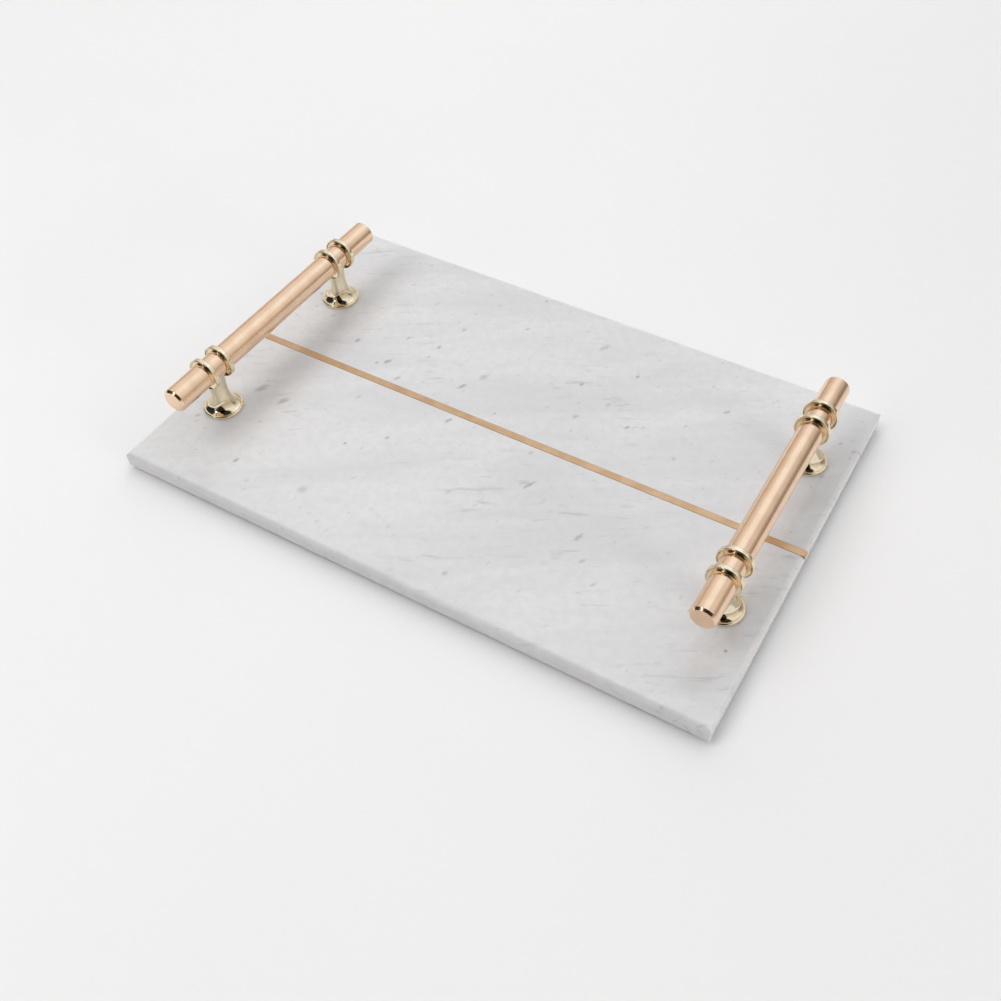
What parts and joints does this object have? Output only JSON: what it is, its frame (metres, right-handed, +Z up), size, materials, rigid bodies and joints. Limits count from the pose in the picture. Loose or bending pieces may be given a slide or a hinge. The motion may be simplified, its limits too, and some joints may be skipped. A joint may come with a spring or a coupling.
{
  "type": "dresser vanity tray",
  "caption": "Thin rectangular marble tray with a metal inlay strip across it and a round bar handle on ring posts at each end, for perfume and cosmetics.",
  "frame": {"origin": "middle of the tray in plan, on the surface its rubber feet stand on", "axes": "+X along the slab's long side towards the right handle, +Y towards the rear long edge, +Z up out of the slab's top face"},
  "size_m": [0.3, 0.2, 0.0427],
  "materials": {
    "marble": "polished white marble with soft grey veins",
    "inlay_metal": "satin rose-brass strip",
    "bar_metal": "satin champagne-rose plated tube, drawn lengthwise",
    "post_metal": "polished pale champagne-gold plating on a casting",
    "gasket": "soft white plastic washer",
    "foot_rubber": "translucent pale grey bumper rubber",
    "steel_fastener": "zinc-plated steel",
    "black_steel": "black-oxide steel"
  },
  "bodies": {
    "root": {"marble_slab": "marble", "brass_inlay_strip": "inlay_metal", "left_handle_bar": "bar_metal", "right_handle_bar": "bar_metal", "left_front_bar_plug": "bar_metal", "left_rear_bar_plug": "bar_metal", "right_front_bar_plug": "bar_metal", "right_rear_bar_plug": "bar_metal", "left_front_post": "post_metal", "left_rear_post": "post_metal", "right_front_post": "post_metal", "right_rear_post": "post_metal", "left_front_post_gasket": "gasket", "left_rear_post_gasket": "gasket", "right_front_post_gasket": "gasket", "right_rear_post_gasket": "gasket", "front_left_foot": "foot_rubber", "front_right_foot": "foot_rubber", "rear_left_foot": "foot_rubber", "rear_right_foot": "foot_rubber", "mounting_screws": "steel_fastener", "screw_washers": "steel_fastener", "bar_grub_screws": "black_steel"}
  },
  "joints": []
}
